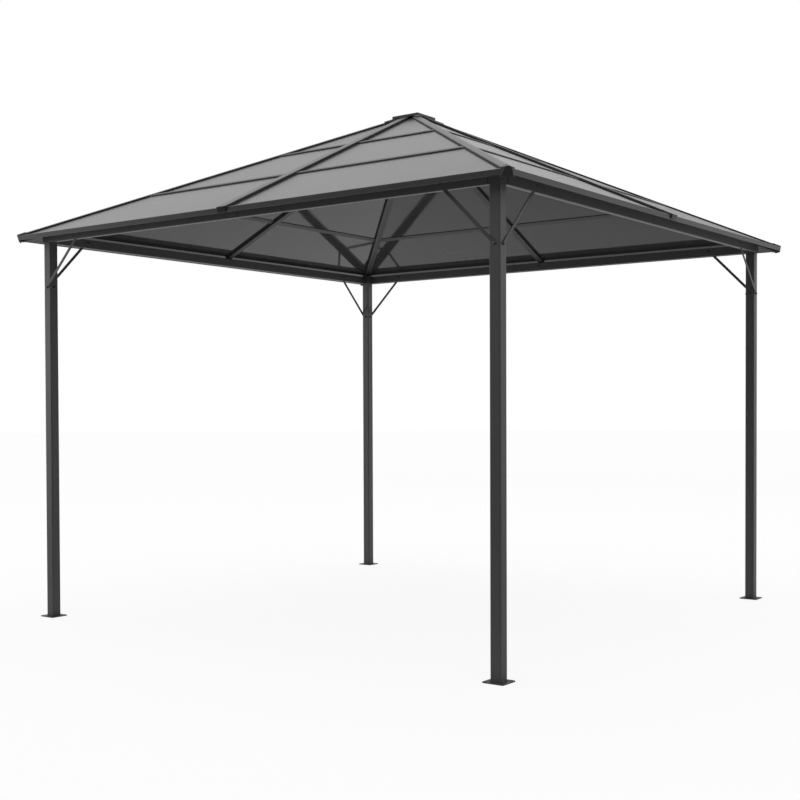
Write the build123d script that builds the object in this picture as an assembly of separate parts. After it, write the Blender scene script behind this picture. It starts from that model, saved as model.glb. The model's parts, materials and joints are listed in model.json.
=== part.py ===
from build123d import *
import math
import os

# Metal gazebo: four slim square posts, a ring of box beams and a square pyramid roof.
# Millimetres, +Z up, the ground is z = 0 and the middle of the plan is the origin.
# Front is toward -Y, right is toward +X. The roof plane is the upper face of the sheets.

# Overall sizes
roof_side = 3000.0
eave_overhang = 130.0
eave_height = 1992.0
ring_below_eave = 28.0
roof_rise = 695.0

# Posts and feet
post_size = 50.0
post_wall = 2.0
post_edge_radius = 5.0
plate_size = 98.0
plate_thickness = 5.0
plate_edge_radius = 6.0
anchor_hole_diameter = 10.0
anchor_hole_spacing = 76.0

# Ring beams, and the heads that join them over each post
beam_height = 47.0
beam_depth = 25.0
beam_wall = 2.0
beam_edge_radius = 3.0
splice_gap = 2.0
splice_length = 120.0
head_size = 58.0
head_height = 52.0
head_wall = 5.0

# Knee braces
brace_reach = 258.0
brace_width = 14.0
brace_thickness = 4.0
brace_bolt_above_beam_bottom = 27.0
brace_hole_diameter = 6.0
brace_slot_clear = 2.0

# Roof sheets and the rafters and strips under them
panel_thickness = 18.0
panel_row = 487.0
panel_joint_gap = 4.0
panel_hip_clear = 3.0
panel_edge_clear = 1.0
panel_top_clear = 62.0
joint_strip_width = 28.0
joint_strip_thickness = 4.0
joint_top_width = 24.0
joint_top_height = 6.0
rafter_width = 36.0
rafter_depth = 14.0
rafter_wall = 2.0

# Covers over the joints between the sheets
hip_cover_width = 44.0
hip_cover_height = 8.0
hip_cover_top_clear = 45.0
mid_cover_width = 52.0
mid_cover_height = 13.0
cover_wall = 2.0

# Eave
fascia_lip = 5.0
fascia_lip_depth = 8.0
fascia_wall = 3.0
corner_cap_length = 40.0
corner_cap_chamfer = 16.0
corner_cap_raise = 11.0
corner_cap_drop = 8.0
corner_cap_wall = 3.0

# Apex
hub_apothem = 52.0
hub_depth = 30.0
hub_seat_half = 30.0
stem_radius = 20.0
apex_cap_side = 168.0
apex_cap_skirt = 13.0
apex_cap_rise = 24.0
apex_cap_wall = 4.0
strap_width = 34.0
strap_thickness = 6.0
strap_start = 66.0
strap_end = 115.0

# Derived sizes
roof_half = roof_side / 2
post_centre = roof_half - eave_overhang
outer_face = post_centre + post_size / 2
beam_face = outer_face + brace_thickness + beam_wall
slope = roof_rise / roof_half
beam_bottom = eave_height - ring_below_eave
beam_top = beam_bottom + beam_height
head_top = beam_bottom + head_height
fascia_bottom = eave_height - panel_thickness
cap_bottom = fascia_bottom - corner_cap_drop
tail_bottom = cap_bottom + corner_cap_wall
apex_height = eave_height + roof_rise
hub_seat = apex_height - panel_thickness - slope * hub_seat_half
sky = 2 * apex_height
diagonal = math.sqrt(2.0)

os.makedirs("parts", exist_ok=True)


def box_between(x0, x1, y0, y1, z0, z1):
    """A box given by its limits."""
    size = (x1 - x0, y1 - y0, z1 - z0)
    middle = ((x0 + x1) / 2, (y0 + y1) / 2, (z0 + z1) / 2)
    return Pos(*middle) * Box(*size)


def prism(points, z0, z1):
    """A plan outline carried straight up from z0 to z1."""
    outline = make_face(Polyline(*points, close=True))
    return Pos(0, 0, z0) * extrude(outline, amount=z1 - z0, dir=(0, 0, 1))


def pyramid(peak, fall):
    """All the space above the ground and below four planes that fall away from a peak."""
    half = peak / fall
    corners = [(-half, -half, 0), (half, -half, 0), (half, half, 0), (-half, half, 0)]
    faces = [Face(Wire.make_polygon(corners, close=True))]
    for k in range(4):
        triangle = [corners[k], corners[(k + 1) % 4], (0, 0, peak)]
        faces.append(Face(Wire.make_polygon(triangle, close=True)))
    return Solid(Shell(faces))


def under_roof(drop):
    """All the space below the roof planes when they are lowered by drop."""
    return pyramid(apex_height - drop, slope)


def roof_layer(plan, top_drop, bottom_drop):
    """The part of the plan outline that lies between two levels of the roof planes."""
    return (prism(plan, 0, sky) & under_roof(top_drop)) - under_roof(bottom_drop)


def turned(shape, quarter):
    """The shape turned about the middle by quarter turns."""
    return Rot(0, 0, 90 * quarter) * shape


def mirror_over_diagonal(shape):
    """The shape reflected in the upright plane through the front right diagonal."""
    return mirror(shape, about=Plane(origin=(0, 0, 0), z_dir=(1, 1, 0)))


def largest(shape):
    """The biggest solid of a shape."""
    return max(shape.solids(), key=lambda solid: solid.volume)


def square_plan(half):
    """Plan outline of a square about the middle."""
    return [(-half, -half), (half, -half), (half, half), (-half, half)]


def diagonal_strip(width, start, end):
    """Plan outline of a strip along the front right diagonal, by distance from the middle."""
    points = []
    for along, side in ((start, -1), (end, -1), (end, 1), (start, 1)):
        across = side * width / 2
        points.append(((along + across) / diagonal, (-along + across) / diagonal))
    return points


def mid_strip(width, start, end):
    """Plan outline of a strip from the front eave toward the middle, by distance in from the eave."""
    half = width / 2
    near = -roof_half + start
    far = -roof_half + end
    return [(-half, near), (half, near), (half, far), (-half, far)]


def corner_cap_plan(outer, inner):
    """Plan outline of the front right eave corner with its tip cut off, made smaller by outer
    on the sides toward the eaves and by inner on the sides toward the roof."""
    near = roof_half - corner_cap_length + inner
    far = roof_half - outer
    cut = far - corner_cap_chamfer
    return [(near, -far), (cut, -far), (far, -cut), (far, -near), (near, -near)]


def rounded_tube(size_a, size_b, length, wall, radius):
    """A square tube with rounded edges standing on z = 0."""
    inner_a = size_a - 2 * wall
    inner_b = size_b - 2 * wall
    if radius > wall:
        inner = RectangleRounded(inner_a, inner_b, radius - wall)
    else:
        inner = Rectangle(inner_a, inner_b)
    outer = RectangleRounded(size_a, size_b, radius)
    return extrude(outer, amount=length) - extrude(inner, amount=length)


# Post: a square tube with soft edges between its foot plate and its head
def make_post():
    length = beam_bottom - plate_thickness
    tube = rounded_tube(post_size, post_size, length, post_wall, post_edge_radius)
    return Pos(post_centre, -post_centre, plate_thickness) * tube


# Foot: a thin square plate with four anchor holes
def make_base_plate():
    plate = extrude(RectangleRounded(plate_size, plate_size, plate_edge_radius), amount=plate_thickness)
    half = anchor_hole_spacing / 2
    hole = Cylinder(anchor_hole_diameter / 2, 2 * plate_thickness)
    for x in (-half, half):
        for y in (-half, half):
            plate -= Pos(x, y, plate_thickness / 2) * hole
    return Pos(post_centre, -post_centre, 0) * plate


def head_block():
    """Outline of the head over the front right post."""
    low = post_centre - head_size / 2
    high = post_centre + head_size / 2
    return box_between(low, high, -high, -low, beam_bottom, head_top)


# Head: the hollow block that caps a post and takes both beams and the hip rafter
def make_post_head():
    room = head_size / 2 - head_wall
    low = post_centre - room
    high = post_centre + room
    return head_block() - box_between(low, high, -high, -low, 0, head_top - head_wall)


def beam_envelope():
    """The full box of the front beam between the two post heads."""
    reach = post_centre - head_size / 2
    return box_between(-reach, reach, -beam_face, -beam_face + beam_depth, beam_bottom, beam_top)


def brace_slot():
    """Space for the right brace of the front side where it passes the underside of the beam."""
    middle = post_centre - brace_reach + brace_bolt_above_beam_bottom
    half = brace_width / diagonal + brace_slot_clear
    return box_between(middle - half - beam_edge_radius, middle + half, -outer_face - brace_thickness,
                       -outer_face + brace_slot_clear, 0, beam_bottom + beam_edge_radius)


# Beam: a box section in two lengths over an inner splice, slotted below for the braces
def make_beam():
    length = 2 * (post_centre - head_size / 2)
    tube = rounded_tube(beam_height, beam_depth, length, beam_wall, beam_edge_radius)
    tube -= Pos(0, 0, length / 2) * Box(2 * beam_height, 2 * beam_depth, splice_gap)
    inner_height = beam_height - 2 * beam_wall
    inner_depth = beam_depth - 2 * beam_wall
    splice = rounded_tube(inner_height, inner_depth, splice_length, beam_wall, beam_edge_radius - beam_wall)
    tube += Pos(0, 0, (length - splice_length) / 2) * splice
    lying = Rot(0, 90, 0) * tube
    beam = Pos(-length / 2, beam_depth / 2 - beam_face, beam_bottom + beam_height / 2) * lying
    return beam - brace_slot() - mirror(brace_slot(), about=Plane.YZ)


# Knee brace: a flat bar with round ends, against the outer face of the post and, through a slot
# in the underside of the beam, against the inside of its outer wall
def make_front_brace():
    span = brace_reach * diagonal
    bar = SlotCenterToCenter(span, brace_width)
    for end in (-span / 2, span / 2):
        bar -= Pos(end, 0) * Circle(brace_hole_diameter / 2)
    upright = Rot(90, 0, 0) * Rot(0, 0, -45) * extrude(bar, amount=brace_thickness)
    x = post_centre - brace_reach / 2
    z = beam_bottom + brace_bolt_above_beam_bottom - brace_reach / 2
    return Pos(x, -outer_face, z) * upright


def cut_for_ring(rafter):
    """A rafter notched over the beams and over the head."""
    rafter -= head_block()
    rafter -= beam_envelope()
    rafter -= mirror_over_diagonal(beam_envelope())
    return rafter


# Hip rafter: a flat box section under each hip, from the hub into the corner cap that it carries
def make_hip_rafter():
    bottom = panel_thickness + rafter_depth
    end = roof_half * diagonal
    body = roof_layer(diagonal_strip(rafter_width, hub_apothem, end), panel_thickness, bottom)
    body -= box_between(0, roof_half, -roof_half, 0, 0, tail_bottom)
    body = largest(cut_for_ring(body) - make_corner_cap())
    bore = roof_layer(diagonal_strip(rafter_width - 2 * rafter_wall, 0, end),
                      panel_thickness + rafter_wall, bottom - rafter_wall)
    reach = roof_half - corner_cap_length
    return largest(body - (bore & box_between(0, reach, -reach, 0, 0, sky)))


# Mid rafter: a flat box section from the outer face of each beam to the hub
def make_mid_rafter():
    bottom = panel_thickness + rafter_depth
    start = roof_half - beam_face
    end = roof_half - hub_apothem
    body = cut_for_ring(roof_layer(mid_strip(rafter_width, start, end), panel_thickness, bottom))
    body -= roof_layer(mid_strip(rafter_width - 2 * rafter_wall, start, roof_half),
                       panel_thickness + rafter_wall, bottom - rafter_wall)
    return largest(body)


def sheet_plan(start, end):
    """Plan outline of the right half of one roof sheet row on the front face."""
    gap = panel_joint_gap / 2
    hip = panel_hip_clear * diagonal
    near = roof_half - start
    far = roof_half - end
    return [(gap, -near), (near - hip, -near), (far - hip, -far), (gap, -far)]


# Roof sheets: three rows of closed trays on each half of a face
def make_sheets():
    half_gap = panel_joint_gap / 2
    first = fascia_wall + panel_edge_clear
    last = roof_half - panel_top_clear
    rows = [(first, panel_row - half_gap), (panel_row + half_gap, 2 * panel_row - half_gap),
            (2 * panel_row + half_gap, last)]
    sheets = []
    for start, end in rows:
        sheet = roof_layer(sheet_plan(start, end), 0, panel_thickness)
        sheet = largest(sheet - prism(corner_cap_plan(0, 0), 0, sky))
        sheets += [sheet, mirror(sheet, about=Plane.YZ)]
    return sheets


def joint_band(row, width, mid_clear, hip_clear, top_drop, bottom_drop):
    """One band along a joint between sheet rows, kept clear of the middle and of the hip."""
    near = roof_half - row + width / 2
    far = roof_half - row - width / 2
    hip = hip_clear * diagonal
    plan = [(mid_clear, -near), (near - hip, -near), (far - hip, -far), (mid_clear, -far)]
    return roof_layer(plan, top_drop, bottom_drop)


# Joint strips: H profiles between the sheet rows, with a flange over and under the sheet edges
def make_joint_strips():
    strips = []
    side = rafter_width / 2
    under = panel_thickness + joint_strip_thickness
    for row in (panel_row, 2 * panel_row):
        strip = joint_band(row, joint_strip_width, side, side, panel_thickness, under)
        strip += joint_band(row, panel_joint_gap, side, side, 0, panel_thickness)
        strip += joint_band(row, joint_top_width, mid_cover_width / 2, hip_cover_width / 2,
                            -joint_top_height, 0)
        strip = largest(strip)
        strips += [strip, mirror(strip, about=Plane.YZ)]
    return strips


# Hip cover: a shallow channel over the joint between two roof faces
def make_hip_cover():
    end = roof_half * diagonal
    body = roof_layer(diagonal_strip(hip_cover_width, hip_cover_top_clear, end), -hip_cover_height, 0)
    body -= roof_layer(diagonal_strip(hip_cover_width - 2 * cover_wall, 0, end),
                       cover_wall - hip_cover_height, 0)
    body -= prism(corner_cap_plan(0, 0), 0, sky)
    inset = roof_half - fascia_lip_depth
    return largest(body & box_between(0, inset, -inset, 0, 0, sky))


# Mid cover: a channel over the middle joint, its lower end folded down over the fascia
# square to the slope
def make_mid_cover():
    end = roof_half - apex_cap_side / 2
    body = roof_layer(mid_strip(mid_cover_width, 0, end), -mid_cover_height, 0)
    body -= roof_layer(mid_strip(mid_cover_width - 2 * cover_wall, fascia_lip_depth, roof_half),
                       cover_wall - mid_cover_height, 0)
    top = eave_height + mid_cover_height
    depth = (top - fascia_bottom) / (slope + 1 / slope)
    side = Polyline((-roof_half, top), (-roof_half - depth, top - slope * depth),
                    (-roof_half, fascia_bottom), close=True)
    fold = extrude(make_face(Plane.YZ * side), amount=mid_cover_width / 2, both=True)
    return body + fold


# Fascia: an angle along each eave, over and in front of the lower edge of the sheets
def make_fascia():
    reach = roof_half - corner_cap_length

    def strip(depth):
        """Plan outline of a strip along the front eave between the corner caps."""
        inner = depth - roof_half
        return [(-reach, -roof_half), (reach, -roof_half), (reach, inner), (-reach, inner)]

    body = prism(strip(fascia_wall), fascia_bottom, sky) & under_roof(-fascia_lip)
    body += roof_layer(strip(fascia_lip_depth), -fascia_lip, 0)
    return body - roof_layer(mid_strip(mid_cover_width, 0, fascia_lip_depth), -mid_cover_height, 0)


def past_cap_end(depth):
    """The space beyond the end of the corner cap, which is square to the hip, moved in by depth."""
    angle = math.atan(slope / diagonal)
    outward = (math.cos(angle) / diagonal, -math.cos(angle) / diagonal, -math.sin(angle))
    middle = roof_half - corner_cap_chamfer / 2
    top = eave_height + corner_cap_raise + slope * corner_cap_chamfer / 2
    end = Plane(origin=(middle, -middle, top), x_dir=(1, 1, 0), z_dir=outward)
    size = 4 * corner_cap_length
    return end * Pos(0, 0, size / 2 - depth) * Box(size, size, size)


# Corner cap: the piece that closes the eave corner, open below and toward the roof
def make_corner_cap():
    body = prism(corner_cap_plan(0, 0), cap_bottom, sky) & under_roof(-corner_cap_raise)
    body -= past_cap_end(0)
    room = prism(corner_cap_plan(corner_cap_wall, -corner_cap_wall), 0, sky) & under_roof(corner_cap_wall)
    return body - (room - past_cap_end(corner_cap_wall))


# Hub: the eight sided block in which the rafters meet, level on top
def make_hub():
    points = []
    radius = hub_apothem / math.cos(math.pi / 8)
    for k in range(8):
        turn = math.pi / 8 + k * math.pi / 4
        points.append((radius * math.cos(turn), radius * math.sin(turn)))
    body = roof_layer(points, panel_thickness, panel_thickness + hub_depth)
    return body & box_between(-radius, radius, -radius, radius, 0, hub_seat)


# Apex cap: a hollow low pyramid on a stem, with a strap out over each hip cover
def make_apex_cap():
    half = apex_cap_side / 2
    rim = apex_height - slope * half + hip_cover_height + strap_thickness
    shoulder = rim + apex_cap_skirt
    fall = apex_cap_rise / half
    top = shoulder + apex_cap_rise
    cap = prism(square_plan(half), rim, sky) & pyramid(top, fall)
    cap -= prism(square_plan(half - apex_cap_wall), 0, sky) & pyramid(top - apex_cap_wall, fall)
    stem = Pos(0, 0, (hub_seat + top) / 2) * Cylinder(stem_radius, top - hub_seat)
    cap += stem & pyramid(top - apex_cap_wall / 2, fall)
    strap = roof_layer(diagonal_strip(strap_width, strap_start * diagonal, strap_end * diagonal),
                       -hip_cover_height - strap_thickness, -hip_cover_height)
    for quarter in range(4):
        cap += turned(strap, quarter)
    return cap


def save(shape, name):
    """Write one named piece."""
    export_step(shape, "parts/" + name + ".step")


corner_names = ["front_right", "back_right", "back_left", "front_left"]
side_names = ["front", "right", "back", "left"]

post = make_post()
base_plate = make_base_plate()
post_head = make_post_head()
front_brace = make_front_brace()
brace_pair = [front_brace, mirror_over_diagonal(front_brace)]
hip_rafter = make_hip_rafter()
hip_cover = make_hip_cover()
for quarter, corner in enumerate(corner_names):
    save(turned(post, quarter), "post_" + corner)
    save(turned(base_plate, quarter), "base_plate_" + corner)
    save(turned(post_head, quarter), "post_head_" + corner)
    save(Compound([turned(brace, quarter) for brace in brace_pair]), "knee_braces_" + corner)
    save(turned(hip_rafter, quarter), "hip_rafter_" + corner)
    save(turned(hip_cover, quarter), "hip_cover_" + corner)

beam = make_beam()
mid_rafter = make_mid_rafter()
sheets = make_sheets()
fascia = make_fascia()
for quarter, side in enumerate(side_names):
    save(turned(beam, quarter), "beam_" + side)
    save(turned(mid_rafter, quarter), "mid_rafter_" + side)
    save(Compound([turned(sheet, quarter) for sheet in sheets]), "roof_sheets_" + side)
    save(turned(fascia, quarter), "fascia_" + side)

corner_cap = make_corner_cap()
mid_cover = make_mid_cover()
strips = make_joint_strips()
save(Compound([turned(corner_cap, k) for k in range(4)]), "corner_caps")
save(Compound([turned(mid_cover, k) for k in range(4)]), "mid_covers")
save(Compound([turned(strip, k) for k in range(4) for strip in strips]), "joint_strips")
save(make_hub(), "apex_hub")
save(make_apex_cap(), "apex_cap")
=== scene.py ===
# %% [markdown]
# # A metal gazebo
# The frame, the roof and every cover of this gazebo come from the CAD model, already in place
# and in metres. This lesson gives them their paint, adds the small parts that the CAD leaves
# out, such as bolts, nuts, seals and weld beads, and sets up the camera and a plain studio.

# %% The frame
import json
import math

import bmesh
import bpy
import numpy as np
from mathutils import Matrix, Vector


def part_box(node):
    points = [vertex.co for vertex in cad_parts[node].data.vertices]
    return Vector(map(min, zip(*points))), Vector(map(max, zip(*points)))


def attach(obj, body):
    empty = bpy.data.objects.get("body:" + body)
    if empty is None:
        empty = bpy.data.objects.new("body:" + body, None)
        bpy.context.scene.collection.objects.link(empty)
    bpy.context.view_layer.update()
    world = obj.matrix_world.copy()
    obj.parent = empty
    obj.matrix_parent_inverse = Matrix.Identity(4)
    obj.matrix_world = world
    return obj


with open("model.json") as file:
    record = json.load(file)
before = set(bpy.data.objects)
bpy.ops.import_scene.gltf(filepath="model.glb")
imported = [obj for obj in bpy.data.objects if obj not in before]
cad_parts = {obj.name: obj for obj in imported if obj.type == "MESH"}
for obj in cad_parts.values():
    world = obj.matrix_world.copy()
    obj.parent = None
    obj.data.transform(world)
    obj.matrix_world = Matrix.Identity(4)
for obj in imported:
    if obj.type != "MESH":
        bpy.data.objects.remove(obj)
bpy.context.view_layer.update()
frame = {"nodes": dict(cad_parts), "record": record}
print(len(frame["nodes"]), "nodes")

# %% [markdown]
# ## The camera
# The place of the camera was worked out from the edges of the posts, eaves and hips in the
# photograph: about chest height, seven metres from the middle, looking level. Its direction is
# given by three turns, and a small shift slides the picture the way the photograph was cropped.

# %% The camera
CAMERA_PLACE = Vector((3.9650, -5.6128, 1.0783))
CAMERA_YAW = 0.65117
CAMERA_PITCH = -0.01888
CAMERA_ROLL = -0.00400
CAMERA_LENS = 56.43
CAMERA_SHIFT = (0.0380, 0.0428)
CAMERA_CLIP = 200.0


def camera_axes(yaw, pitch, roll):
    """Right, up and back directions: turn by yaw about the vertical, tip by pitch, then roll."""
    forward = Vector((-math.sin(yaw) * math.cos(pitch), math.cos(yaw) * math.cos(pitch),
                      math.sin(pitch)))
    level = Vector((math.cos(yaw), math.sin(yaw), 0.0))
    upright = level.cross(forward)
    right = math.cos(roll) * level + math.sin(roll) * upright
    up = math.cos(roll) * upright - math.sin(roll) * level
    return right, up, -forward


camera = bpy.data.objects.new("camera", bpy.data.cameras.new("camera"))
bpy.context.scene.collection.objects.link(camera)
camera.matrix_world = Matrix.Translation(CAMERA_PLACE) @ Matrix(
    camera_axes(CAMERA_YAW, CAMERA_PITCH, CAMERA_ROLL)).transposed().to_4x4()
camera.data.lens = CAMERA_LENS
camera.data.shift_x, camera.data.shift_y = CAMERA_SHIFT
camera.data.clip_end = CAMERA_CLIP
bpy.context.scene.camera = camera
print("camera", round(CAMERA_PLACE.xy.length, 2), "m from the middle, and", CAMERA_PLACE.z, "m up")

# %% [markdown]
# ## Shader maths as Python
# A material is a tree of nodes. Writing each Math node by hand hides the formula, so a small
# class wraps a socket and lets `+`, `-`, `*` and `abs` add the nodes. A second class owns the
# tree and adds any other node from its type, its settings and what goes into its sockets.


# %% A socket that does arithmetic
class Wire:
    """One output of a shader tree. Arithmetic on it adds a Math node to the tree."""

    def __init__(self, shader, socket):
        self.shader = shader
        self.socket = socket

    def maths(self, operation, *values, clamp=False):
        settings = {"operation": operation, "use_clamp": clamp}
        return self.shader.node("ShaderNodeMath", settings, dict(enumerate(values)))["Value"]

    def __add__(self, other):
        return self.maths("ADD", self, other)

    def __sub__(self, other):
        return self.maths("SUBTRACT", self, other)

    def __rsub__(self, other):
        return self.maths("SUBTRACT", other, self)

    def __mul__(self, other):
        return self.maths("MULTIPLY", self, other)

    def __abs__(self):
        return self.maths("ABSOLUTE", self)

    __radd__ = __add__
    __rmul__ = __mul__

    def clamped(self):
        """The value held between 0 and 1."""
        return self.maths("ADD", self, 0.0, clamp=True)

    def larger(self, other):
        """The larger of two values."""
        return self.maths("MAXIMUM", self, other)


# %% A tree of nodes
# The Mix node has several sockets of the same name, so those for colours go by number.
MIX_MASK, MIX_FIRST, MIX_SECOND, MIX_COLOUR = 0, 6, 7, 2
NOISE_ROUGHNESS = 0.55


class Shader:
    """The node tree of a material or of the world."""

    def __init__(self, owner):
        owner.use_nodes = True
        self.tree = owner.node_tree
        self.tree.nodes.clear()

    def node(self, kind, settings=None, inputs=None):
        """Adds a node: settings first, then each socket gets a value or a link. Gives back its
        outputs by name and by number."""
        made = self.tree.nodes.new(kind)
        for name, value in (settings or {}).items():
            setattr(made, name, value)
        for key, value in (inputs or {}).items():
            if isinstance(value, Wire):
                self.tree.links.new(value.socket, made.inputs[key])
            else:
                made.inputs[key].default_value = value
        wires = [Wire(self, socket) for socket in made.outputs]
        return {**{wire.socket.name: wire for wire in wires}, **dict(enumerate(wires))}

    def spot(self):
        """The place of a point on its object, in metres."""
        return self.node("ShaderNodeTexCoord")["Object"]

    def noise(self, place, scale, detail=3.0):
        """Cloudy values from 0 to 1, with scale blobs to the metre."""
        return self.node("ShaderNodeTexNoise", {}, {
            "Vector": place, "Scale": scale, "Detail": detail,
            "Roughness": NOISE_ROUGHNESS})["Fac"]

    def stretched(self, place, scale):
        """Coordinates stretched by three factors, so that noise becomes streaks."""
        return self.node("ShaderNodeMapping", {"vector_type": "POINT"}, {
            "Vector": place, "Scale": scale})["Vector"]

    def way_out(self, place):
        """How far a point is from the middle, measured square to the nearest eave."""
        parts = self.node("ShaderNodeSeparateXYZ", {}, {"Vector": place})
        return abs(parts["X"]).larger(abs(parts["Y"]))

    def blend(self, mask, first, second):
        """A colour between first (mask 0) and second (mask 1)."""
        return self.node("ShaderNodeMix", {"data_type": "RGBA"}, {
            MIX_MASK: mask, MIX_FIRST: first, MIX_SECOND: second})[MIX_COLOUR]

    def bump(self, height, distance, normal=None):
        """A Normal that tilts as if the surface rose by height times distance metres."""
        inputs = {"Height": height, "Distance": distance, "Strength": 1.0}
        if normal:
            inputs["Normal"] = normal
        return self.node("ShaderNodeBump", {}, inputs)["Normal"]

    def surface(self, wire):
        """Ends the tree of a material."""
        self.node("ShaderNodeOutputMaterial", {}, {"Surface": wire})

    def principled(self, colour, roughness, normal, **more):
        """Ends the tree of a material with a Principled surface."""
        self.surface(self.node("ShaderNodeBsdfPrincipled", {}, {
            "Base Color": colour, "Roughness": roughness, "Normal": normal, **more})["BSDF"])


def new_material(name):
    """A named material and the shader that fills it."""
    material = bpy.data.materials.new(name)
    return material, Shader(material)


def rgb(red, green, blue):
    """A colour with full alpha, in linear values."""
    return (red, green, blue, 1.0)


def tone(colour, factor):
    """The same colour, lighter or darker."""
    return rgb(*(min(1.0, c * factor) for c in colour[:3]))


# %% [markdown]
# ## The studio
# A gazebo this dark is mostly seen by what it reflects. The photograph was taken in front of a
# white backdrop, with the room behind the camera much darker: faces turned to the camera are
# almost black, and faces seen at a shallow angle shine. The world is that white backdrop, a dark
# drape in a wide arc stands for the room, with a mat that carries it on over the floor. A pale
# matt panel far behind, less bright than the backdrop, keeps the right roof face from turning
# white. The camera sees none of them, so every view keeps a white background, and only
# reflections see the mat.


# %% Surfaces from grids of points
def grid_quads(rows, columns, wrap_rows=False, wrap_columns=False):
    """Four corners for each cell of a grid, whose last row or column may join the first."""
    i, j = np.meshgrid(np.arange(rows if wrap_rows else rows - 1),
                       np.arange(columns if wrap_columns else columns - 1), indexing="ij")
    next_i, next_j = (i + 1) % rows, (j + 1) % columns
    corners = (i * columns + j, i * columns + next_j,
               next_i * columns + next_j, next_i * columns + j)
    return np.stack(corners, axis=-1).reshape(-1, 4)


def repeated(quads, points, copies):
    """The quads of one grid, repeated for copies that follow one another in the points."""
    return (quads[None] + (np.arange(copies) * points)[:, None, None]).reshape(-1, 4)


MERGE_DISTANCE = 1e-6


def mesh_object(name, vertices, quads):
    """A mesh from arrays: points that meet are merged, and faces are turned to look out."""
    mesh = bpy.data.meshes.new(name)
    mesh.vertices.add(len(vertices))
    mesh.vertices.foreach_set("co", np.asarray(vertices, np.float32).ravel())
    mesh.loops.add(quads.size)
    mesh.loops.foreach_set("vertex_index", quads.astype(np.int32).ravel())
    mesh.polygons.add(len(quads))
    mesh.polygons.foreach_set("loop_start", np.arange(0, quads.size, 4, dtype=np.int32))
    mesh.update(calc_edges=True)
    cleaner = bmesh.new()
    cleaner.from_mesh(mesh)
    bmesh.ops.remove_doubles(cleaner, verts=cleaner.verts, dist=MERGE_DISTANCE)
    bmesh.ops.dissolve_degenerate(cleaner, edges=cleaner.edges, dist=MERGE_DISTANCE)
    bmesh.ops.recalc_face_normals(cleaner, faces=cleaner.faces)
    cleaner.to_mesh(mesh)
    cleaner.free()
    mesh.validate()
    made = bpy.data.objects.new(name, mesh)
    bpy.context.scene.collection.objects.link(made)
    print(name, len(mesh.vertices), "points", len(mesh.polygons), "faces")
    return made


# %% The floor
FLOOR_RADIUS = 60.0
FLOOR_RINGS, FLOOR_TURNS = 4, 96


def disc(radius, rings, turns):
    """A flat disc: each point is at a share of the radius and an angle."""
    share, angle = np.meshgrid(np.linspace(0, 1, rings),
                               np.linspace(0, 2 * np.pi, turns, endpoint=False), indexing="ij")
    flat = radius * share
    points = np.stack([flat * np.cos(angle), flat * np.sin(angle), np.zeros_like(flat)], -1)
    return points.reshape(-1, 3)


floor = mesh_object("studio_floor", disc(FLOOR_RADIUS, FLOOR_RINGS, FLOOR_TURNS),
                    grid_quads(FLOOR_RINGS, FLOOR_TURNS, wrap_columns=True))
if floor.data.polygons[0].normal.z < 0:
    floor.data.flip_normals()

# %% The drape, the panel and the mat
CLOTH_RADIUS = 12.0
CLOTH_LIFT = 0.02
CLOTH_COLUMNS = 64
MAT_NEAR = 2.6
DRAPE_HEIGHT = 4.6
DRAPE_START, DRAPE_END = math.radians(-175.5), math.radians(-6.0)
PANEL_HEIGHT = 6.2
PANEL_START, PANEL_END = math.radians(45.0), math.radians(92.0)


def cloth(name, start, end, near, top):
    """Part of a ring about the middle. Each point is at an angle from the camera's right, and a
    share of the way from the near distance and floor level to the far distance and the top."""
    turn, share = np.meshgrid(np.linspace(start, end, CLOTH_COLUMNS), [0.0, 1.0], indexing="ij")
    turn = turn + CAMERA_YAW
    reach = near + share * (CLOTH_RADIUS - near)
    height = CLOTH_LIFT + share * (top - CLOTH_LIFT)
    points = np.stack([reach * np.cos(turn), reach * np.sin(turn), height], -1).reshape(-1, 3)
    made = mesh_object(name, points, grid_quads(CLOTH_COLUMNS, 2))
    made.visible_camera = False
    return made


drape = cloth("studio_drape", DRAPE_START, DRAPE_END, CLOTH_RADIUS, DRAPE_HEIGHT)
panel = cloth("studio_panel", PANEL_START, PANEL_END, CLOTH_RADIUS, PANEL_HEIGHT)
mat = cloth("studio_mat", DRAPE_START, DRAPE_END, MAT_NEAR, CLOTH_LIFT)
mat.visible_diffuse = mat.visible_shadow = mat.visible_transmission = False

# %% [markdown]
# The floor is plain and pale. To the camera most of it is an even white, and the rest is an
# ordinary matt surface, which is what keeps the soft shadow under the roof. Reflections see more
# of the matt part, so the glossy underside of the roof mirrors the shadow as well.

# %% The finish of the floor and the cloths
SHADOW_SHARE = 0.14
MIRRORED_SHADOW_SHARE = 0.90
FLOOR_WHITE = 1.03
FLOOR_GREY = 0.86
DRAPE_GREY = 0.02
PANEL_GREY = 0.93


def seen_directly(shader):
    """1 for rays that show the background: camera, glossy and transmission rays."""
    path = shader.node("ShaderNodeLightPath")
    return path["Is Camera Ray"].larger(path["Is Glossy Ray"]).larger(path["Is Transmission Ray"])


def matt(shader, grey):
    """A matt surface of one grey."""
    return shader.node("ShaderNodeBsdfDiffuse", {}, {"Color": rgb(grey, grey, grey)})["BSDF"]


def floor_finish():
    """Matt, but mostly an even white to the camera, and a little of it to reflections."""
    material, shader = new_material("studio_floor")
    white = shader.node("ShaderNodeEmission", {}, {
        "Color": rgb(1.0, 1.0, 1.0), "Strength": FLOOR_WHITE})["Emission"]
    gloss = shader.node("ShaderNodeLightPath")["Is Glossy Ray"]
    mask = (seen_directly(shader) * (1.0 - SHADOW_SHARE)
            - gloss * (MIRRORED_SHADOW_SHARE - SHADOW_SHARE))
    shader.surface(shader.node("ShaderNodeMixShader", {}, {
        0: mask, 1: matt(shader, FLOOR_GREY), 2: white})["Shader"])
    return material


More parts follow.
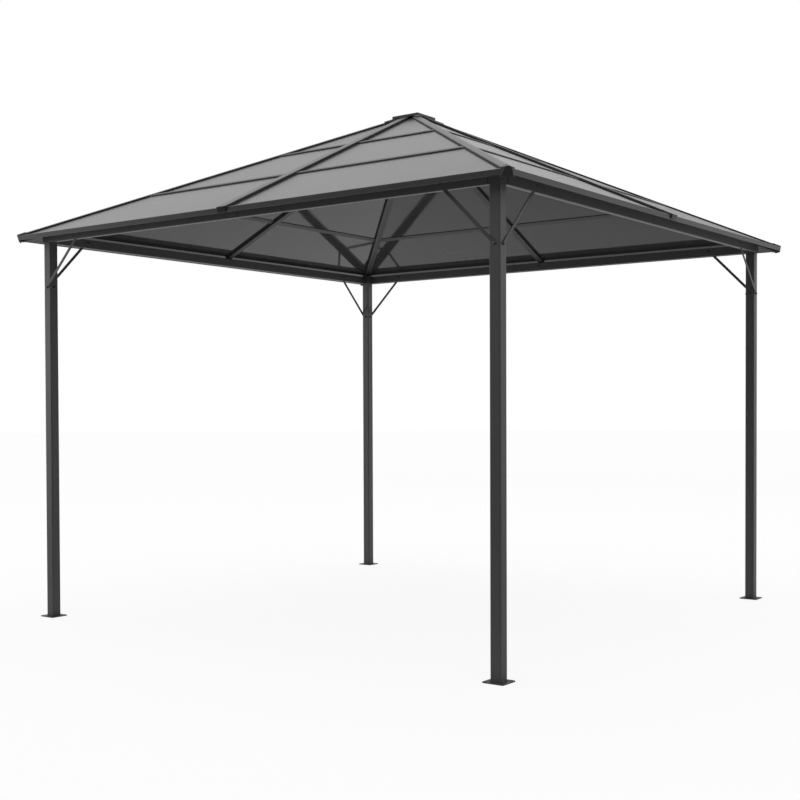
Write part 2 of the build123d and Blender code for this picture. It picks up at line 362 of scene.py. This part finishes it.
def cloth_finish(name, grey):
    """A matt cloth."""
    material, shader = new_material(name)
    shader.surface(matt(shader, grey))
    return material


dark_cloth = cloth_finish("studio_drape", DRAPE_GREY)
floor.data.materials.append(floor_finish())
drape.data.materials.append(dark_cloth)
mat.data.materials.append(dark_cloth)
panel.data.materials.append(cloth_finish("studio_panel", PANEL_GREY))
print("studio finishes", [m.name for m in bpy.data.materials if m.name.startswith("studio")])

# %% [markdown]
# ## The light
# The backdrop is full white wherever it is seen, directly or in a reflection, and a little
# dimmer as a light, so that the shadow under the roof stays. Two soft lamps add to it: a low one
# on the left, and a wide one overhead.

# %% The world
SKY_LEVEL = 0.80
world = bpy.context.scene.world or bpy.data.worlds.new("studio_world")
bpy.context.scene.world = world
sky = Shader(world)
backdrop = sky.node("ShaderNodeBackground", {}, {
    "Color": rgb(1.0, 1.0, 1.0), "Strength": seen_directly(sky) * (1.0 - SKY_LEVEL) + SKY_LEVEL})
sky.node("ShaderNodeOutputWorld", {}, {"Surface": backdrop["Background"]})
bpy.context.scene.view_settings.view_transform = "Standard"
print("world lights with", SKY_LEVEL, "and shows 1.0")


# %% The lamps
def lamp(name, place, target, size, watts):
    """A soft square lamp that looks at a target and isn't seen by the camera."""
    light = bpy.data.lights.new(name, "AREA")
    light.shape, light.size, light.energy = "SQUARE", size, watts
    made = bpy.data.objects.new(name, light)
    made.location = place
    direction = Vector(target) - Vector(place)
    made.rotation_euler = direction.to_track_quat("-Z", "Y").to_euler()
    made.visible_camera = False
    bpy.context.scene.collection.objects.link(made)


lamp("lamp_left", place=(-8.3, -6.3, 1.8), target=(-1.4, -1.4, 1.4), size=2.4, watts=60.0)
lamp("lamp_top", place=(-1.0, 1.0, 10.0), target=(0, 0, 1.8), size=5.0, watts=150.0)

# %% [markdown]
# ## The paints
# The whole gazebo is powder coated in one anthracite grey. The coat is baked on from a powder,
# so it has a very fine grain, a faint orange peel a few millimetres across, and a satin shine.
# The roof sheets and their covers are coated flat, on a coil, before they are cut: smoother and
# glossier, with faint streaks along the rolling direction and slow waves in the metal.

# %% Powder coat
POWDER_IOR = 1.5
CLOUD_SCALE, CLOUD_DARK, CLOUD_LIGHT, CLOUD_ROUGHNESS = 3.0, 0.90, 1.10, 0.10
SPECKLE_SCALE, SPECKLE_LIGHT, SPECKLE_SHARE, SPECKLE_ROUGHNESS = 1100.0, 1.9, 1.6, 0.12
DUST_SCALE, DUST_SHARE, DUST_ROUGHNESS = 45.0, 0.10, 0.15
DUST_TOP, DUST_FADE = 0.12, 9.0
DUST_COLOUR = rgb(0.16, 0.15, 0.14)
PEEL_SCALE, PEEL_HEIGHT, SPECKLE_HEIGHT = 320.0, 0.00010, 0.00004


def powder_coat(name, colour, roughness):
    """Dark satin paint: fine speckle, faint cloudy tone, orange peel and dust near the ground."""
    material, shader = new_material(name)
    spot = shader.spot()
    height = shader.node("ShaderNodeSeparateXYZ", {}, {"Vector": spot})["Z"]
    clouds = shader.noise(spot, CLOUD_SCALE)
    speckle = shader.noise(spot, SPECKLE_SCALE, detail=1.0)
    peel = shader.noise(spot, PEEL_SCALE, detail=2.0)
    dust = ((DUST_TOP - height) * DUST_FADE).clamped() * shader.noise(spot, DUST_SCALE)
    paint = shader.blend(clouds, tone(colour, CLOUD_DARK), tone(colour, CLOUD_LIGHT))
    paint = shader.blend((speckle - 0.5) * SPECKLE_SHARE, paint, tone(colour, SPECKLE_LIGHT))
    paint = shader.blend(dust * DUST_SHARE, paint, DUST_COLOUR)
    rough = roughness + (clouds - 0.5) * CLOUD_ROUGHNESS
    rough = rough + (speckle - 0.5) * SPECKLE_ROUGHNESS + dust * DUST_ROUGHNESS
    raised = shader.bump(speckle, SPECKLE_HEIGHT, normal=shader.bump(peel, PEEL_HEIGHT))
    shader.principled(paint, rough, raised, Metallic=0.0, IOR=POWDER_IOR)
    return material


# %% Coil coat
COIL_IOR = 1.42
TINT_SCALE, TINT_DARK, TINT_LIGHT, TINT_ROUGHNESS = 1.7, 0.92, 1.08, 0.015
STREAK_SCALE, STREAK_STRETCH = 22.0, (1.0, 1.0, 9.0)
STREAK_LIGHT, STREAK_SHARE, STREAK_ROUGHNESS = 1.35, 0.5, 0.010
# Lighter patches on the upper faces: some dust, and painted light for the brighter light that
# falls on the tops.
ROOF_DUST_AND_SHEEN_SCALE, ROOF_DUST_AND_SHEEN_SHARE = 5.0, 0.06
ROOF_DUST_AND_SHEEN_COLOUR = rgb(0.22, 0.22, 0.22)
UPPER_SHARPNESS = 4.0
ROOF_HALF = 1.500
FOLD_START, FOLD_SHARPNESS = ROOF_HALF - 0.0005, 2000.0
FOLD_COLOUR = rgb(0.020, 0.020, 0.021)
WAVE_SCALE, WAVE_HEIGHT = 3.0, 0.0005
GRAIN_SCALE, GRAIN_HEIGHT = 900.0, 0.000006


def coil_coat(name, colour, top_roughness, under_roughness):
    """Smooth sheet paint: streaks down the slope, slow waves, and a glossier underside. What is
    folded down beyond the eave is darker, as the end pieces of the middle covers are."""
    material, shader = new_material(name)
    coordinates = shader.node("ShaderNodeTexCoord")
    facing = shader.node("ShaderNodeSeparateXYZ", {}, {"Vector": coordinates["Normal"]})["Z"]
    upper = (facing * UPPER_SHARPNESS + 0.5).clamped()
    spot = coordinates["Object"]
    folded = ((shader.way_out(spot) - FOLD_START) * FOLD_SHARPNESS).clamped()
    tints = shader.noise(spot, TINT_SCALE)
    streaks = shader.noise(shader.stretched(spot, STREAK_STRETCH), STREAK_SCALE, detail=4.0)
    # Upper faces only: dust together with painted light on the tops.
    dust = upper * shader.noise(spot, ROOF_DUST_AND_SHEEN_SCALE, detail=2.0)
    paint = shader.blend(tints, tone(colour, TINT_DARK), tone(colour, TINT_LIGHT))
    paint = shader.blend((streaks - 0.5) * STREAK_SHARE, paint, tone(colour, STREAK_LIGHT))
    paint = shader.blend(dust * ROOF_DUST_AND_SHEEN_SHARE, paint, ROOF_DUST_AND_SHEEN_COLOUR)
    paint = shader.blend(folded, paint, FOLD_COLOUR)
    rough = upper * (top_roughness - under_roughness) + under_roughness
    rough = rough + (streaks - 0.5) * STREAK_ROUGHNESS + (tints - 0.5) * TINT_ROUGHNESS
    waves = shader.bump(shader.noise(spot, WAVE_SCALE, detail=1.0), WAVE_HEIGHT)
    grain = shader.noise(spot, GRAIN_SCALE, detail=1.0)
    raised = shader.bump(grain, GRAIN_HEIGHT, normal=waves)
    shader.principled(paint, rough, raised, Metallic=0.0, IOR=COIL_IOR)
    return material


# %% [markdown]
# The record names one paint for each kind of piece. They differ a little: the rafters and eaves
# are darker than posts and beams as painted shade, for the shade under the roof and on the eave
# faces turned to the dark room; the corner caps are darker too, and the undersides of the sheets
# are so glossy that the beams mirror in them. A node takes its paint in every material slot that
# it has.

# %% One paint for each slot of the record
PAINTS = {
    "frame_paint": powder_coat("frame_paint", rgb(0.056, 0.056, 0.059), 0.43),
    "foot_paint": powder_coat("foot_paint", rgb(0.045, 0.046, 0.048), 0.42),
    "brace_paint": powder_coat("brace_paint", rgb(0.040, 0.041, 0.043), 0.42),
    # Rafters: a darker copy of the frame paint, painted shade for the shade under the roof.
    "rafter_paint": powder_coat("rafter_paint", rgb(0.024, 0.024, 0.026), 0.48),
    # Eaves: a darker copy of the frame paint, painted shade for their faces turned to the dark
    # room.
    "fascia_paint": powder_coat("fascia_paint", rgb(0.018, 0.018, 0.020), 0.42),
    "cap_paint": powder_coat("cap_paint", rgb(0.026, 0.026, 0.028), 0.50),
    "sheet_paint": coil_coat("sheet_paint", rgb(0.032, 0.032, 0.034), 0.27, 0.06),
    "cover_paint": coil_coat("cover_paint", rgb(0.040, 0.040, 0.042), 0.36, 0.36),
}
for part in frame["record"]["subparts"]:
    node = frame["nodes"][part["node"]]
    if not node.material_slots:
        node.data.materials.append(None)
    for holder in node.material_slots:
        holder.material = PAINTS[part["material_slot"]]
print("paints", sorted(PAINTS))

# %% [markdown]
# ## Steel and rubber
# The bolts are black oiled steel: a dark metal with cloudy oxide and fine scratches, which only
# glints where it mirrors something bright. The heads outside are a lighter copy of that steel, as
# a painted glint, and the nuts inside are a darker copy, as painted shade; the heads are also
# smoother. The seals are dull rubber, with a grain too soft to shine, and their black also stands
# in for shade.

# %% Blackened steel and rubber
OXIDE_SCALE, OXIDE_DARK, OXIDE_LIGHT = 260.0, 0.8, 1.2
SCRATCH_SCALE, SCRATCH_STRETCH = 900.0, (1.0, 1.0, 6.0)
SCRATCH_HEIGHT, SCRATCH_ROUGHNESS = 0.00002, 0.2
RUBBER_SCALE, RUBBER_DARK, RUBBER_LIGHT = 700.0, 0.7, 1.4
RUBBER_HEIGHT, RUBBER_ROUGHNESS, RUBBER_VARIATION = 0.00005, 0.62, 0.2


def blackened(name, colour, roughness):
    """Oiled black steel: dark metal with cloudy oxide and fine scratches."""
    material, shader = new_material(name)
    spot = shader.spot()
    oxide = shader.noise(spot, OXIDE_SCALE)
    scratches = shader.noise(shader.stretched(spot, SCRATCH_STRETCH), SCRATCH_SCALE, detail=2.0)
    metal = shader.blend(oxide, tone(colour, OXIDE_DARK), tone(colour, OXIDE_LIGHT))
    rough = roughness + (scratches - 0.5) * SCRATCH_ROUGHNESS
    shader.principled(metal, rough, shader.bump(scratches, SCRATCH_HEIGHT), Metallic=1.0)
    return material


def rubber(name, colour):
    """Dull black sealing rubber with a soft grain."""
    material, shader = new_material(name)
    grain = shader.noise(shader.spot(), RUBBER_SCALE)
    body = shader.blend(grain, tone(colour, RUBBER_DARK), tone(colour, RUBBER_LIGHT))
    rough = RUBBER_ROUGHNESS + (grain - 0.5) * RUBBER_VARIATION
    shader.principled(body, rough, shader.bump(grain, RUBBER_HEIGHT))
    return material


# The heads get a lighter copy of the black steel as a painted glint, and the nuts inside get a
# darker copy as painted shade.
shaded_nut_finish = blackened("bolt_painted_shade", rgb(0.09, 0.09, 0.093), 0.36)
lit_head_finish = blackened("bolt_painted_glint", rgb(0.17, 0.17, 0.175), 0.20)
# Black seal rubber, whose black also stands in for the shade in the gaps beside the covers, as
# painted shade.
seal_and_shade_finish = rubber("seal_rubber_and_shade", rgb(0.016, 0.016, 0.017))
print("finishes", shaded_nut_finish.name, lit_head_finish.name, seal_and_shade_finish.name)

# %% [markdown]
# ## Bolts, washers and nuts
# Each knee brace is held by two bolts. The lower one goes through the brace and the post. The
# upper end of the brace is hidden inside the hollow beam, so that bolt shows only its head on
# the outer face of the beam, painted with it. Each has a domed nut on the inner face. A bolt
# head is a surface of revolution whose inner rings are hexagons, so the key socket comes from
# the same formula as the round head.

# %% Where the bolts go
BRACE_HALF_WIDTH = 0.007
post_low, post_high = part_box("post_front_right")
beam_low, beam_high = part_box("beam_front")
brace_low, brace_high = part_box("knee_braces_front_right")
post_line = (post_low.x + post_high.x) / 2
brace_face = brace_high.x
bolt_low = brace_low.z + BRACE_HALF_WIDTH
bolt_high = brace_high.z - BRACE_HALF_WIDTH
beam_line = brace_low.x + BRACE_HALF_WIDTH
post_inner = post_low.x
beam_outer, beam_inner = -beam_low.y, -beam_high.y
print("bolts at", [round(v, 4) for v in (post_line, bolt_low, beam_line, bolt_high)])


def quarter_turns(points, directions):
    """Points and directions turned about the vertical through the middle by 0 to 3 quarters."""
    angle = np.arange(4) * np.pi / 2
    turn = np.zeros((4, 3, 3))
    turn[:, 0, 0] = turn[:, 1, 1] = np.cos(angle)
    turn[:, 1, 0], turn[:, 0, 1] = np.sin(angle), -np.sin(angle)
    turn[:, 2, 2] = 1
    return (np.einsum("kij,nj->kni", turn, points).reshape(-1, 3),
            np.einsum("kij,nj->kni", turn, directions).reshape(-1, 3))


def both_faces(front_point):
    """A point on the front of the front right corner with its mirror image on the right side,
    and the directions in which the two faces look."""
    x, y, z = front_point
    return np.array([[x, y, z], [-y, -x, z]]), np.array([[0.0, -1.0, 0.0], [1.0, 0.0, 0.0]])


def outer_and_inner(x, outer_y, inner_y, z):
    """Sites on the outer and on the inner face, for one bolt of each brace."""
    outer_points, outward = both_faces((x, -outer_y, z))
    inner_points, _ = both_faces((x, -inner_y, z))
    return quarter_turns(outer_points, outward), quarter_turns(inner_points, -outward)


post_outer_sites, post_inner_sites = outer_and_inner(post_line, brace_face, post_inner, bolt_low)
beam_outer_sites, beam_inner_sites = outer_and_inner(beam_line, beam_outer, beam_inner, bolt_high)
print(len(post_outer_sites[0]), "bolts through posts and",
      len(beam_outer_sites[0]), "through beams")

# %% Turned shapes with hexagons in them
TURNED_COLUMNS = 24
UP = np.array([0.0, 0.0, 1.0])


def turned_shape(rings):
    """Rings of (radius, height, hexness), the first and last of which are points. The radius is
    times 1 where hexness is 0, and where it is 1 it is divided by the cosine of the angle from
    the middle of the nearest flat, which turns the circle into a hexagon about it."""
    radius, height, hexness = np.asarray(rings, float).T[:, :, None]
    angle = np.linspace(0, 2 * np.pi, TURNED_COLUMNS, endpoint=False)[None, :]
    to_flat = np.mod(angle, np.pi / 3) - np.pi / 6
    reach = radius * (1 - hexness + hexness / np.cos(to_flat))
    return np.stack([reach * np.cos(angle), reach * np.sin(angle), height + 0 * angle], -1)


def at_sites(shape, sites):
    """Copies of a shape, its own height along each site's outward direction, and their quads."""
    places, outward = sites
    side = np.cross(UP, outward)
    flat = shape.reshape(-1, 3)
    copies = (places[:, None] + flat[None, :, :1] * side[:, None] + flat[None, :, 1:2] * UP
              + flat[None, :, 2:] * outward[:, None])
    quads = grid_quads(*shape.shape[:2], wrap_columns=True)
    return copies.reshape(-1, 3), repeated(quads, len(flat), len(places))


def add_piece(name, vertices, quads, material, slot):
    """A piece of the gazebo with its material, on the one body that the part has."""
    made = mesh_object(name, vertices, quads)
    made.data.materials.append(material)
    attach(made, "root")


# %% Washers, heads and nuts
MM = 0.001


def in_metres(rings):
    """Ring sizes from millimetres to metres; hexness stays."""
    return [(radius * MM, height * MM, hexness) for radius, height, hexness in rings]


WASHER = in_metres([(0, 0, 0), (5.8, 0, 0), (6.2, 0.3, 0), (6.2, 1.2, 0), (5.8, 1.5, 0),
                    (0, 1.5, 0)])
HEAD = in_metres([(0, 1.5, 0), (5.2, 1.5, 0), (5.5, 1.8, 0), (5.3, 2.6, 0), (4.7, 3.6, 0),
                  (3.8, 4.4, 0), (2.9, 4.8, 0), (2.3, 4.8, 0.6), (2.0, 4.7, 1), (2.0, 2.8, 1),
                  (0, 2.6, 1)])
NUT = in_metres([(0, 1.5, 1), (4.7, 1.5, 1), (5.0, 1.9, 1), (5.0, 5.6, 1), (4.8, 6.2, 0.5),
                 (4.5, 7.0, 0), (4.0, 8.6, 0), (3.0, 9.9, 0), (1.6, 10.6, 0), (0, 10.8, 0)])
FASTENERS = [
    ("post_bolt_washers", WASHER, post_outer_sites, lit_head_finish, "brace_paint"),
    ("post_bolt_heads", HEAD, post_outer_sites, lit_head_finish, "brace_paint"),
    ("post_nut_washers", WASHER, post_inner_sites, shaded_nut_finish, "brace_paint"),
    ("post_nuts", NUT, post_inner_sites, shaded_nut_finish, "brace_paint"),
    ("beam_bolt_washers", WASHER, beam_outer_sites, PAINTS["frame_paint"], "frame_paint"),
    ("beam_bolt_heads", HEAD, beam_outer_sites, PAINTS["frame_paint"], "frame_paint"),
    ("beam_nut_washers", WASHER, beam_inner_sites, shaded_nut_finish, "brace_paint"),
    ("beam_nuts", NUT, beam_inner_sites, shaded_nut_finish, "brace_paint"),
]
for name, rings, sites, material, slot in FASTENERS:
    add_piece(name, *at_sites(turned_shape(rings), sites), material, slot)

# %% [markdown]
# ## Seals along the roof covers
# Where a cover or a joint strip sits on the sheets, a black rubber seal runs along its edge and
# shows as a crisp dark line; its black also stands in for the shade in the gap beside the cover,
# as painted shade. It could be painted on as a stripe, but from so low a camera only its height is
# seen, so each seal is a real soft edged bar carried along the edge.

# %% The roof plane and its edges
EAVE_HEIGHT = 1.992
ROOF_SLOPE = 0.695 / ROOF_HALF
HIP_COVER_HALF, HIP_COVER_HEIGHT = 0.022, 0.008
MID_COVER_HALF, MID_COVER_HEIGHT = 0.026, 0.013
JOINT_TOP_HALF, JOINT_TOP_HEIGHT = 0.012, 0.006
SHEET_ROW = 0.487
HIP_SEAL_WIDTH, SEAL_WIDTH = 0.0040, 0.0020
HIP_SEAL_TOP, HIP_SEAL_FOOT = 0.092, 1.488
MID_SEAL_TOP, MID_SEAL_FOOT = 0.088, 1.490
SEAL_BELOW_COVER, SEAL_BELOW_BAR = 0.0003, 0.001


def on_front_face(x, y):
    """A point on the front roof plane, which rises from the eave by the slope times the way in."""
    return np.array([x, y, EAVE_HEIGHT + ROOF_SLOPE * (ROOF_HALF + y)])


print("roof slope", round(math.degrees(math.atan(ROOF_SLOPE)), 1), "degrees")

# %% A soft edged bar
SEAL_COLUMNS = 12
SEAL_SHARES = np.array([0.0, 0.0, 0.001, 0.25, 0.5, 0.75, 0.999, 1.0, 1.0])[:, None]
SEAL_SWELL = np.array([0.0, 0.8, 1.0, 1.0, 1.0, 1.0, 1.0, 0.8, 0.0])[:, None]
SEAL_MIDDLE_OUT, SEAL_MIDDLE_UP = 0.9, 0.95


def squarish(wave):
    """A cosine or sine pushed out to its square root, with its sign."""
    return np.sign(wave) * np.abs(wave) ** 0.5


def seal_bar(start, end, outward, height, width):
    """A bar along a line: its section is a rounded oblong, half the width times the squarish
    cosine by half the height times the squarish sine. Its middle lies a little less than that
    half out and up from the line, which tucks it in. Rings lie at shares of the length, and the
    first and last shrink to a point to close the ends."""
    angle = np.linspace(0, 2 * np.pi, SEAL_COLUMNS, endpoint=False)[None, :]
    across = width / 2 * (SEAL_MIDDLE_OUT + SEAL_SWELL * squarish(np.cos(angle)))
    upward = height / 2 * (SEAL_MIDDLE_UP + SEAL_SWELL * squarish(np.sin(angle)))
    line = start + SEAL_SHARES * (end - start)
    return line[:, None] + across[..., None] * outward + upward[..., None] * UP


# %% Seals of one roof face, then of all four
hip_shift = HIP_COVER_HALF * math.sqrt(2.0)
seals = []
for side in (1.0, -1.0):
    away = np.array([-side, -1.0, 0.0]) / math.sqrt(2.0)
    seals.append(seal_bar(on_front_face(side * (HIP_SEAL_TOP - hip_shift), -HIP_SEAL_TOP),
                          on_front_face(side * (HIP_SEAL_FOOT - hip_shift), -HIP_SEAL_FOOT),
                          away, HIP_COVER_HEIGHT - SEAL_BELOW_COVER, HIP_SEAL_WIDTH))
    seals.append(seal_bar(on_front_face(side * MID_COVER_HALF, -MID_SEAL_TOP),
                          on_front_face(side * MID_COVER_HALF, -MID_SEAL_FOOT),
                          np.array([side, 0.0, 0.0]), MID_COVER_HEIGHT - SEAL_BELOW_BAR,
                          SEAL_WIDTH))
    for row in (SHEET_ROW, 2 * SHEET_ROW):
        for edge in (-1.0, 1.0):
            y = row - ROOF_HALF + edge * JOINT_TOP_HALF
            reach = ROOF_HALF - row - JOINT_TOP_HALF - hip_shift
            seals.append(seal_bar(on_front_face(side * MID_COVER_HALF, y),
                                  on_front_face(side * reach, y), np.array([0.0, edge, 0.0]),
                                  JOINT_TOP_HEIGHT - SEAL_BELOW_COVER, SEAL_WIDTH))
seals = np.stack(seals)
bars, rings, columns = seals.shape[:3]
seal_points = seals.reshape(-1, 3)
add_piece("roof_seals_and_shade", quarter_turns(seal_points, seal_points)[0],
          repeated(grid_quads(rings, columns, wrap_columns=True), rings * columns, 4 * bars),
          seal_and_shade_finish, "rafter_paint")

# %% [markdown]
# ## Weld beads
# Each post is welded to its foot plate all the way round. A bead is a small sloping fillet
# carried along the outline of the post, swelling and shrinking a little every few millimetres,
# as the welder's puddle freezes.

# %% A profile carried along the outline of a post
BEAD_POINTS, BEAD_CURVE = 128, 6
WELD_SIZE, WELD_RIPPLE, WELD_PITCH = 0.0045, 0.18, 0.0035
WELD_TUCK = 0.25
POST_EDGE_RADIUS = 0.005
post_half = (post_high.x - post_low.x) / 2
plate_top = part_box("base_plate_front_right")[1].z


def rounded_square(half, radius, count):
    """Points and outward directions spread evenly round a square with rounded corners."""
    straight, arc = 2 * (half - radius), radius * np.pi / 2
    along = np.linspace(0, 4 * (straight + arc), count, endpoint=False)
    side, rest = np.divmod(along, straight + arc)
    on_arc = np.clip((rest - straight) / arc, 0, 1) * np.pi / 2
    x = half - radius + radius * np.cos(on_arc)
    y = np.minimum(rest, straight) - straight / 2 + radius * np.sin(on_arc)
    turn = side * np.pi / 2
    outline = np.stack([x * np.cos(turn) - y * np.sin(turn), x * np.sin(turn) + y * np.cos(turn)],
                       -1)
    facing = np.stack([np.cos(turn + on_arc), np.sin(turn + on_arc)], -1)
    return outline, facing


def weld_bead(corner):
    """A fillet about the post at a corner: a hollow quarter circle from the post down to the
    plate, with a point inside the post at each end. The side that ends at the last point crosses
    over the curve, so what shows is mostly that flat slope. The size is multiplied by
    1 + ripple * |sin| along the outline, which is eight post halves long."""
    outline, facing = rounded_square(post_half, POST_EDGE_RADIUS, BEAD_POINTS)
    along = np.arange(BEAD_POINTS) * 8 * post_half / BEAD_POINTS
    swell = WELD_SIZE * (1 + WELD_RIPPLE * np.abs(np.sin(np.pi * along / WELD_PITCH)))
    angle = np.linspace(0, np.pi / 2, BEAD_CURVE)[::-1]
    out = np.concatenate([[-WELD_TUCK], 1 - np.sin(angle), [-WELD_TUCK]])
    up = np.concatenate([[0.0], 1 - np.cos(angle), [1.0]])
    points = np.zeros((BEAD_POINTS, len(out), 3))
    points[..., :2] = (np.array(corner) * post_line + outline[:, None]
                       + facing[:, None] * (swell[:, None] * out)[..., None])
    points[..., 2] = plate_top + swell[:, None] * up
    return points


beads = np.stack([weld_bead(corner) for corner in ((1, -1), (1, 1), (-1, 1), (-1, -1))])
profile = beads.shape[2]
bead_quads = grid_quads(BEAD_POINTS, profile, wrap_rows=True, wrap_columns=True)
add_piece("foot_welds", beads.reshape(-1, 3),
          repeated(bead_quads, BEAD_POINTS * profile, len(beads)),
          PAINTS["foot_paint"], "foot_paint")
